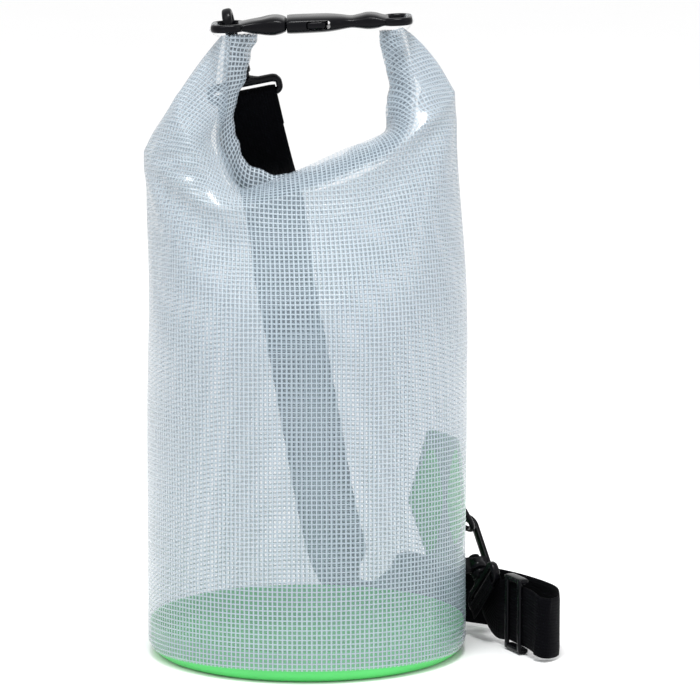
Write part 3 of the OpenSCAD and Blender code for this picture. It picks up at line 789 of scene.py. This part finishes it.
def strap_route():
    """Middle line of the band and the direction across it, as in the part: top base, back, floor, loop, lower base."""
    route = [(TOP.bar + BAR_GAP * TOP.p - 24 * TOP.axis, TOP.q), (TOP.bar + BAR_GAP * TOP.p - 10 * TOP.axis, TOP.q)]
    route += bar_turn(TOP)
    route += [(TOP.bar - (BAR_GAP - 0.4) * TOP.p - 12 * TOP.axis, TOP.q)]
    route += [(np.array(p, float), np.array(a, float)) for p, a in BACK_RUN]
    route += [(np.array([x, y, STAND_Z + lift]), UPRIGHT) for x, y, lift in STANDING]
    route += [(SLIDER_PLACE + k * SLIDER_ALONG, UPRIGHT) for k in (-18, -6, 6)]
    route += turn_up() + bar_turn(BOTTOM)
    route += [(BOTTOM.bar - BAR_GAP * BOTTOM.p - 8 * BOTTOM.axis, BOTTOM.q)]
    return np.array([r[0] for r in route]), np.array([r[1] for r in route])


def band_frames(places, acrosses, per_key=12):
    count = (len(places) - 1) * per_key + 1
    path, wanted = spline(places, count), spline(acrosses, count)
    ahead = unit(np.gradient(path, axis=0))
    across = unit(wanted - (wanted * ahead).sum(1, keepdims=True) * ahead)
    return path, across, np.cross(ahead, across)


def band_section(half_w, half_t, count=11):
    """Across the top, round the edge and back along the underside, with slightly proud selvedges."""
    x = np.linspace(-1, 1, count)
    proud = half_t * (0.82 + 0.18 * abs(x) ** 6)
    top = np.stack([half_w * x, proud * np.sqrt(np.clip(1.02 - abs(x) ** 14, 0.2, 1))], 1)
    return np.concatenate([top, (top * (1, -1))[::-1]])


def band_shell(path, across, up, half_w, half_t):
    flat = band_section(half_w, half_t)
    rings = path[:, None] + flat[None, :, :1] * across[:, None] + flat[None, :, 1:] * up[:, None]
    length = np.concatenate([[0], np.cumsum(np.linalg.norm(np.diff(path, axis=0), axis=1))])
    round_ = np.concatenate([flat[:, 0], flat[:1, 0]])
    uv = np.stack(np.broadcast_arrays(length[:, None], round_[None]), 2)
    return {"rings": rings, "uv": uv}, length


def stitch(start, end, out, radius=0.28):
    """One raised stitch between two points."""
    start, end, out = (np.array(v, float) for v in (start, end, out))
    line = [start + t * (end - start) + out * (radius * 0.9 * math.sin(math.pi * t) - 0.1)
            for t in np.linspace(0, 1, 6)]
    sizes = [0.35, 0.85, 1, 1, 0.85, 0.35]
    return swept(line, out, np.array([superellipse(radius * k, radius * 1.3 * k, 2, 6) for k in sizes]))


def stitch_line(path, across, up, half_t, side, row, offsets):
    """Stitches across the band at one place along it."""
    shells = []
    for a, b in zip(offsets[:-1:2], offsets[1::2]):
        base = path[row] + side * up[row] * half_t
        shells.append(stitch(base + across[row] * a, base + across[row] * b, side * up[row]))
    return shells


def shoulder_strap():
    places, acrosses = strap_route()
    path, across, up = band_frames(places, acrosses)
    shell, length = band_shell(path, across, up, STRAP_W / 2, STRAP_T / 2)
    obj = build("strap_webbing", [shell], WEBBING, "bag", ("shoulder_strap",))
    offsets = np.linspace(-16, 16, 22)
    shells = []
    total = length[-1]
    for side, places_mm in ((1, (4, 16)), (-1, (4, 16)), (1, (total - 3, total - 8)), (-1, (total - 3, total - 8))):
        for mm in places_mm:
            row = int(np.argmin(abs(length - mm)))
            shells += stitch_line(path, across, up, STRAP_T / 2, side, row, offsets)
    build("strap_stitches", shells, THREAD_BLACK, "bag")
    return obj


strap = shoulder_strap()


def strap_slider():
    """Ladder slider: two outer bars on one face of the band and the middle bar on the other."""
    across = np.array([-SLIDER_ALONG[1], SLIDER_ALONG[0], 0])
    turn = np.stack([SLIDER_ALONG, across, UPRIGHT], 1)
    gap = STRAP_T / 2 + 0.35
    shells = []
    for z in (-22.2, 22.2):
        rows = [(-11, 2 * gap - 0.4 + 1.4, z - 1.7, z + 1.7), (-6, gap + 2.4, z - 1.8, z + 1.8),
                (6, gap + 2.4, z - 1.8, z + 1.8), (11, 2 * gap - 0.4 + 1.4, z - 1.7, z + 1.7)]
        shells.append(lofted(rows, 3.4, 22, 1.0))
    for x, y in ((-9, gap + 1.25), (9, gap + 1.25), (0, -gap - 1.25)):
        path = [(x, y, z) for z in np.linspace(-23.2, 23.2, 15)]
        shells.append(swept(path, (1, 0, 0), superellipse(2.0, 1.25, 2.8, 16)))
    return build("slider_ladder", [placed(x, turn, SLIDER_PLACE) for x in shells], PLASTIC, "bag",
                 ("strap_slider",))


strap_slider()

# ---------------------------------------------------------------- patch, its tab and the D-ring
PATCH_ROTATION = np.array([[math.cos(PATCH_TURN), -math.sin(PATCH_TURN), 0],
                           [math.sin(PATCH_TURN), math.cos(PATCH_TURN), 0], [0, 0, 1]])


def on_wall(y, z, height):
    """A point of the patch's frame that lies that far off the tube's wall."""
    r = BAG_R + height
    return np.stack([r * np.cos(y / BAG_R), r * np.sin(y / BAG_R), z], -1)


def patch_sheet():
    """Six-sided tarpaulin patch with a welded border, crowned a little where the tab pulls it."""
    middle, half_h, half_w, corner_w = 87.0, 42.0, 37.0, 20.0
    corners = np.array([(half_w, -7), (corner_w, half_h), (-corner_w, half_h), (-half_w, -7), (-corner_w, -half_h),
                        (corner_w, -half_h)], float)
    per_side = 20
    rim = []
    for k in range(6):
        a, b = corners[k], corners[(k + 1) % 6]
        rim += [a + (b - a) * t for t in np.linspace(0, 1, per_side, endpoint=False)]
    rim = np.array(rim)
    for _ in range(3):
        rim = 0.25 * np.roll(rim, 1, 0) + 0.5 * rim + 0.25 * np.roll(rim, -1, 0)
    scales = [1.0, 0.997, 0.985, 0.965, 0.94, 0.925, 0.91, 0.89, 0.85, 0.8, 0.7, 0.6, 0.45, 0.3, 0.15, 0.02]
    heights = [0.35, 0.95, 1.15, 1.2, 0.95, 0.75, 0.9, 1.15, 1.2, 1.2, 1.25, 1.3, 1.3, 1.3, 1.3, 1.3]
    rings = []
    for scale, height in zip([0.02, 1.0] + scales, [0.3, 0.3] + heights):
        ripple = 0.12 * np.sin(np.arange(len(rim)) * 0.9) * (0.9 < scale < 0.99)
        rings.append(on_wall(rim[:, 0] * scale, middle + rim[:, 1] * scale, height + ripple))
    uv = np.array([np.concatenate([rim, rim[:1]]) * s for s in [0.02, 1.0] + scales])
    shell = {"rings": placed(np.array(rings), PATCH_ROTATION), "uv": uv}
    return build("patch_sheet", [shell], GREEN, "bag", ("patch",))


def ring_tab():
    """Webbing tab folded round the D-ring's bar and box-stitched to the patch."""
    outer = RING_PIVOT_R
    line = [(BAG_R + 1.9, 107), (BAG_R + 1.9, 96), (BAG_R + 2.0, 89), (BAG_R + 2.6, 85.5)]
    for a in np.radians(np.linspace(140, -120, 11)):
        line.append((outer + 2.9 * math.cos(a), RING_PIVOT_Z + 2.9 * math.sin(a)))
    line += [(BAG_R + 2.05, 79.8), (BAG_R + 2.0, 78.5)]
    line = spline(line, 90)
    path = np.stack([line[:, 0], 0 * line[:, 0], line[:, 1]], 1)
    ahead = unit(np.gradient(path, axis=0))
    across = np.broadcast_to((0, 1.0, 0), path.shape)
    up = np.cross(ahead, across)
    flat = band_section(12.3, 0.65)
    rings = path[:, None] + flat[None, :, :1] * across[:, None] + flat[None, :, 1:] * up[:, None]
    length = np.concatenate([[0], np.cumsum(np.linalg.norm(np.diff(path, axis=0), axis=1))])
    uv = np.stack(np.broadcast_arrays(length[:, None], np.concatenate([flat[:, 0], flat[:1, 0]])[None]), 2)
    obj = build("ring_tab", [{"rings": placed(rings, PATCH_ROTATION), "uv": uv}], WEBBING, "bag",
                ("d_ring_tab",))
    shells = []
    box = [(-9.5, 88.5), (9.5, 88.5), (9.5, 105), (-9.5, 105), (-9.5, 88.5), (9.5, 105)]
    lines = list(zip(box[:-1], box[1:])) + [((9.5, 88.5), (-9.5, 105))]
    for (y0, z0), (y1, z1) in lines:
        steps = max(3, int(math.dist((y0, z0), (y1, z1)) / 2.6))
        for k in range(steps):
            a, b = (k + 0.1) / steps, (k + 0.85) / steps
            ends = [on_wall(np.array(y0 + (y1 - y0) * t), np.array(z0 + (z1 - z0) * t), 2.55) for t in (a, b)]
            ends = [np.array([BAG_R + 2.55, e[1], e[2]]) for e in ends]
            shells.append(placed(stitch(ends[0], ends[1], (1, 0, 0)), PATCH_ROTATION))
    build("ring_tab_stitches", shells, THREAD_BLACK, "bag")
    return obj


def d_ring():
    """Bent rod: a straight bar inside the tab and a bow whose corners are rounded."""
    half, bend = 15.0, 8.0
    path = [(0, y, 0) for y in np.linspace(-half + 1, half - 1, 9)]
    path += [(0, half, -1), (0, half, -4), (0, half, -(RING_REACH - bend))]
    for a in np.radians(np.linspace(10, 90, 8)):
        path.append((0, half - bend + bend * math.cos(a), -(RING_REACH - bend) - bend * math.sin(a)))
    path += [(0, y, -RING_REACH) for y in (4, 0, -4)]
    for a in np.radians(np.linspace(90, 10, 8)):
        path.append((0, -half + bend - bend * math.cos(a), -(RING_REACH - bend) - bend * math.sin(a)))
    path += [(0, -half, -(RING_REACH - bend)), (0, -half, -4), (0, -half, -1)]
    rings = swept(path, (1, 0, 0), superellipse(1.8, 1.8, 2, 18), closed=True)
    lean = np.array([[math.cos(RING_LEAN), 0, -math.sin(RING_LEAN)], [0, 1, 0],
                     [math.sin(RING_LEAN), 0, math.cos(RING_LEAN)]])
    rings = placed(placed(rings, lean, (RING_PIVOT_R, 0, RING_PIVOT_Z)), PATCH_ROTATION)
    return build("d_ring_rod", [{"rings": rings, "closed": True}], PLASTIC, "patch_ring", ("d_ring",))


patch_sheet()
ring_tab()
d_ring()

# ---------------------------------------------------------------- base
def base_pan():
    """Green base: a flat floor, a rounded edge, and a flange that rises inside the tube to its weld."""
    profile = [(0.5, 1.4), (60, 1.4), (86, 1.5), (91, 2.0), (94.5, 3.8), (96.6, 6.2), (97.2, 9), (97.3, 15),
               (97.3, 19.6), (97.6, 20), (98.3, 20), (98.6, 19.6), (98.6, 15), (98.6, 8), (98.3, 6.2), (97.4, 4.2), (96, 2.4),
               (94, 1.1), (91, 0.3), (88, 0.05), (60, 0.02), (0.5, 0.02)]
    profile = spline(profile, 86)
    count = 192
    turn = np.arange(count) * 2 * math.pi / count
    rings = []
    for r, z in profile:
        wave = 0.35 * np.sin(7 * turn + 0.4) + 0.25 * np.sin(16 * turn + 2)
        live = smoothstep(70, 92, r) * smoothstep(0.0, 2.5, z) * smoothstep(16, 9, z)
        ring = r - 0.5 * live * (1 + wave)
        rings.append(np.stack([ring * np.cos(turn), ring * np.sin(turn), np.full(count, max(z, 0.0))], 1))
    span = np.concatenate([turn, [2 * math.pi]]) * BAG_R
    run = np.concatenate([[0], np.cumsum(np.linalg.norm(np.diff(profile, axis=0), axis=1))])
    uv = np.stack(np.broadcast_arrays(span[None], run[:, None]), 2)
    return build("base_pan", [{"rings": np.array(rings), "uv": uv}], GREEN, "bag", ("base_dish",))


base_pan()


# ---------------------------------------------------------------- floor, light and camera
def area_light(name, place, target, size, power, ratio=1.0):
    data = bpy.data.lights.new(name, "AREA")
    data.shape, data.size, data.size_y, data.energy = "RECTANGLE", size, size * ratio, power
    obj = bpy.data.objects.new(name, data)
    obj.location = place
    obj.rotation_euler = (Vector(target) - Vector(place)).to_track_quat("-Z", "Y").to_euler()
    bpy.context.scene.collection.objects.link(obj)


def studio():
    scene = bpy.context.scene
    scene.view_settings.view_transform = "Standard"
    world = bpy.data.worlds.new("studio")
    world.use_nodes = True
    world.node_tree.nodes["Background"].inputs[0].default_value = (1, 1, 1, 1)
    world.node_tree.nodes["Background"].inputs[1].default_value = 1.0
    scene.world = world
    mesh = bpy.data.meshes.new("floor")
    mesh.from_pydata([(-6, -6, 0), (6, -6, 0), (6, 6, 0), (-6, 6, 0)], [], [(0, 1, 2, 3)])
    floor = bpy.data.objects.new("floor", mesh)
    scene.collection.objects.link(floor)
    mat, tree, shader = new_material("floor_paper")
    tone = noise(tree, object_place(tree), 3, 2)
    tree.links.new(mix_colour(tree, tone, (0.95, 0.95, 0.95), (0.97, 0.97, 0.97)), shader.inputs["Base Color"])
    shader.inputs["Roughness"].default_value = 0.9
    mesh.materials.append(mat)
    area_light("key", (-0.9, -1.3, 2.3), (0, 0, 0.25), 1.3, 10)
    area_light("side", (1.9, -0.9, 1.0), (0, 0, 0.25), 1.2, 4)
    area_light("overhead", (0.05, -0.42, 2.0), (0, 0, 0.3), 0.6, 26, 0.35)


def camera():
    data = bpy.data.cameras.new("camera")
    data.lens, data.sensor_width = 247, 36
    obj = bpy.data.objects.new("camera", data)
    aim = Vector((0.027, 0, 0.191))
    obj.location = aim + Vector((0, -2.96, 0.489))
    obj.rotation_euler = (aim - obj.location).to_track_quat("-Z", "Y").to_euler()
    bpy.context.scene.collection.objects.link(obj)
    bpy.context.scene.camera = obj


studio()
camera()
